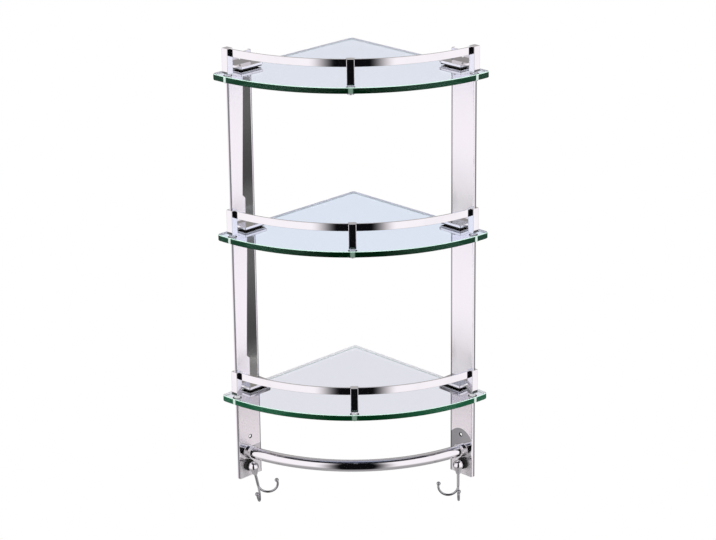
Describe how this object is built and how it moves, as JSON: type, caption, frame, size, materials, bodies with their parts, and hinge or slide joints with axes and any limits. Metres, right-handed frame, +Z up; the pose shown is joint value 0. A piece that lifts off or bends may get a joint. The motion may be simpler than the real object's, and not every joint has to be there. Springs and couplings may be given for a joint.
{
  "type": "corner glass shelf",
  "caption": "Wall-mounted corner shelf: quarter-round glass tiers behind curved steel guard rails, on wall plates that also carry a bent towel bar and turning robe hooks.",
  "frame": {"origin": "in the room's corner, where the two wall planes meet, level with the lower ends of the plates", "axes": "+X along the right wall away from the corner, -Y along the left wall away from the corner, +Z up; left and right as seen facing the corner"},
  "size_m": [0.2594, 0.2594, 0.6387],
  "materials": {
    "polished_steel": "mirror polished",
    "clear_glass": "clear float glass with a green edge",
    "black_rubber": "matt",
    "pale_gasket": "translucent, satin",
    "white_nylon": "satin",
    "screw_steel": "plain bright"
  },
  "bodies": {
    "frame": {"left_wall_plate": "polished_steel", "right_wall_plate": "polished_steel", "lower_glass_shelf": "clear_glass", "lower_guard_rail": "polished_steel", "lower_left_post": "polished_steel", "lower_right_post": "polished_steel", "lower_centre_post": "polished_steel", "lower_left_clip": "polished_steel", "lower_right_clip": "polished_steel", "lower_post_screws": "screw_steel", "lower_post_bushes": "white_nylon", "lower_post_gaskets": "pale_gasket", "lower_clip_pads": "black_rubber", "lower_clamp_screws": "screw_steel", "middle_glass_shelf": "clear_glass", "middle_guard_rail": "polished_steel", "middle_left_post": "polished_steel", "middle_right_post": "polished_steel", "middle_centre_post": "polished_steel", "middle_left_clip": "polished_steel", "middle_right_clip": "polished_steel", "middle_post_screws": "screw_steel", "middle_post_bushes": "white_nylon", "middle_post_gaskets": "pale_gasket", "middle_clip_pads": "black_rubber", "middle_clamp_screws": "screw_steel", "upper_glass_shelf": "clear_glass", "upper_guard_rail": "polished_steel", "upper_left_post": "polished_steel", "upper_right_post": "polished_steel", "upper_centre_post": "polished_steel", "upper_left_clip": "polished_steel", "upper_right_clip": "polished_steel", "upper_post_screws": "screw_steel", "upper_post_bushes": "white_nylon", "upper_post_gaskets": "pale_gasket", "upper_clip_pads": "black_rubber", "upper_clamp_screws": "screw_steel", "left_clip_screws": "screw_steel", "right_clip_screws": "screw_steel", "towel_bar": "polished_steel", "towel_bar_plugs": "screw_steel", "towel_bar_screws": "screw_steel", "left_bar_collar": "polished_steel", "left_hook_stud": "screw_steel", "left_hook_collar": "black_rubber", "right_bar_collar": "polished_steel", "right_hook_stud": "screw_steel", "right_hook_collar": "black_rubber"},
    "left_hook": {"left_hook_ball": "polished_steel", "left_hook_prongs": "polished_steel"},
    "right_hook": {"right_hook_ball": "polished_steel", "right_hook_prongs": "polished_steel"}
  },
  "joints": [
    {"name": "left_hook_turn", "type": "hinge", "parent": "frame", "child": "left_hook", "pos_m": [0.0156, -0.2115, 0.017], "axis": [1, 0, 0], "range_deg": [-104, 76]},
    {"name": "right_hook_turn", "type": "hinge", "parent": "frame", "child": "right_hook", "pos_m": [0.2115, -0.0156, 0.017], "axis": [0, -1, 0], "range_deg": [-90, 90]}
  ]
}
